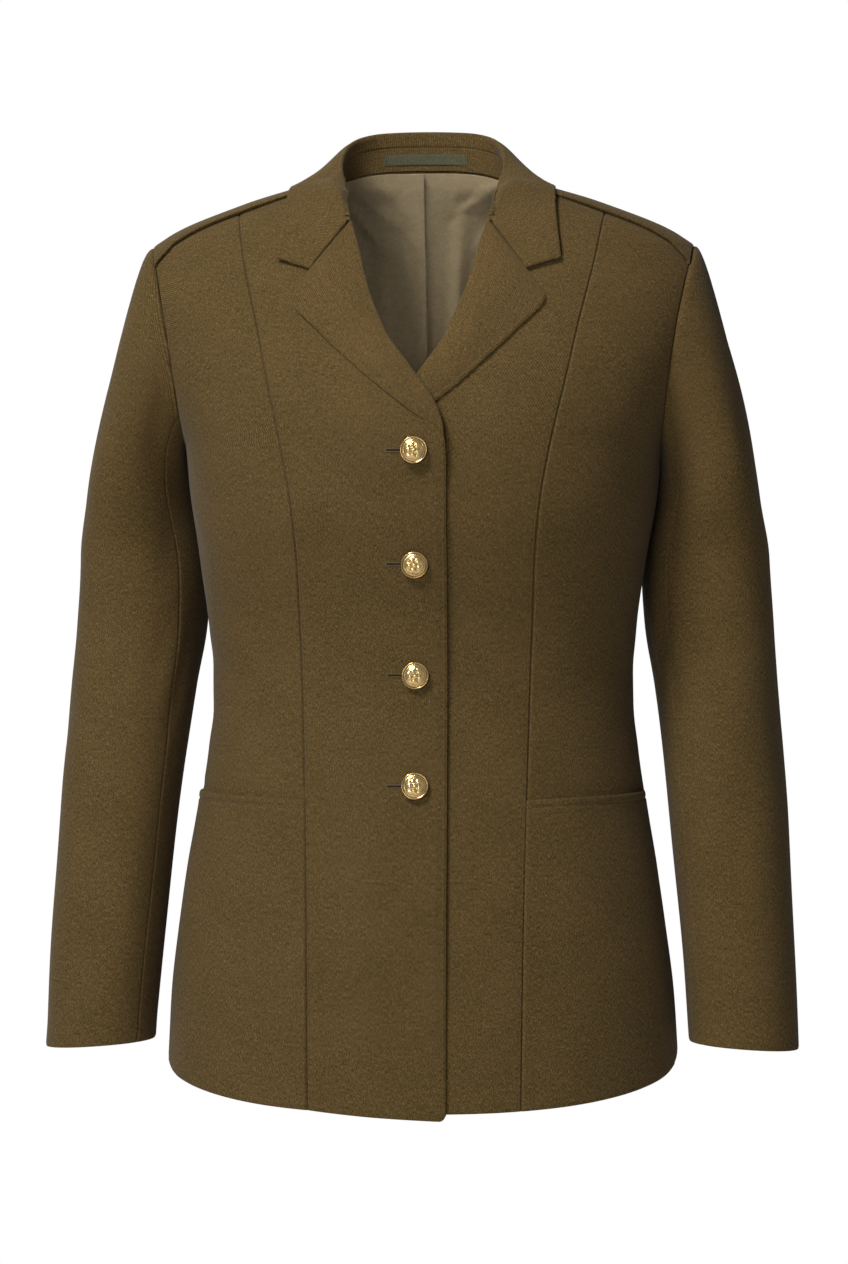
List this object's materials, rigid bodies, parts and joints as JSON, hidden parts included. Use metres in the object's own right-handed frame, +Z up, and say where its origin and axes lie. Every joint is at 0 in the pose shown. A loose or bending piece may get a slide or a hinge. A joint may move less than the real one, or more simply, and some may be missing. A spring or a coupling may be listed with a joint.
{
  "type": "military dress tunic",
  "caption": "Women's single-breasted wool dress tunic with notched lapels, princess seams, inset hip pockets, shoulder straps, gilt buttons and a satin back lining, in its worn form.",
  "frame": {"origin": "midway between the two points where the shoulder seams meet the collar, where the wearer's shoulders hold the tunic up", "axes": "+Z up along the wearer, +X towards the wearer's left sleeve, -Y towards the front"},
  "size_m": [0.5462, 0.2606, 0.7175],
  "materials": {
    "wool": "fine twill, matt",
    "satin_lining": "satin, soft sheen",
    "label_tape": "woven tape, matt",
    "gilt": "polished gilt"
  },
  "bodies": {
    "root": {"front_left": "wool", "front_right": "wool", "side_front_left": "wool", "side_front_right": "wool", "side_back_left": "wool", "side_back_right": "wool", "back_left": "wool", "back_right": "wool", "pocket_left": "wool", "pocket_right": "wool", "lapel_left": "wool", "lapel_right": "wool", "collar": "wool", "collar_stand": "wool", "top_sleeve_left": "wool", "top_sleeve_right": "wool", "under_sleeve_left": "wool", "under_sleeve_right": "wool", "shoulder_strap_left": "wool", "shoulder_strap_right": "wool", "back_lining_left": "satin_lining", "back_lining_right": "satin_lining", "hanger_label": "label_tape", "button_1": "gilt", "button_2": "gilt", "button_3": "gilt", "button_4": "gilt"}
  },
  "joints": []
}
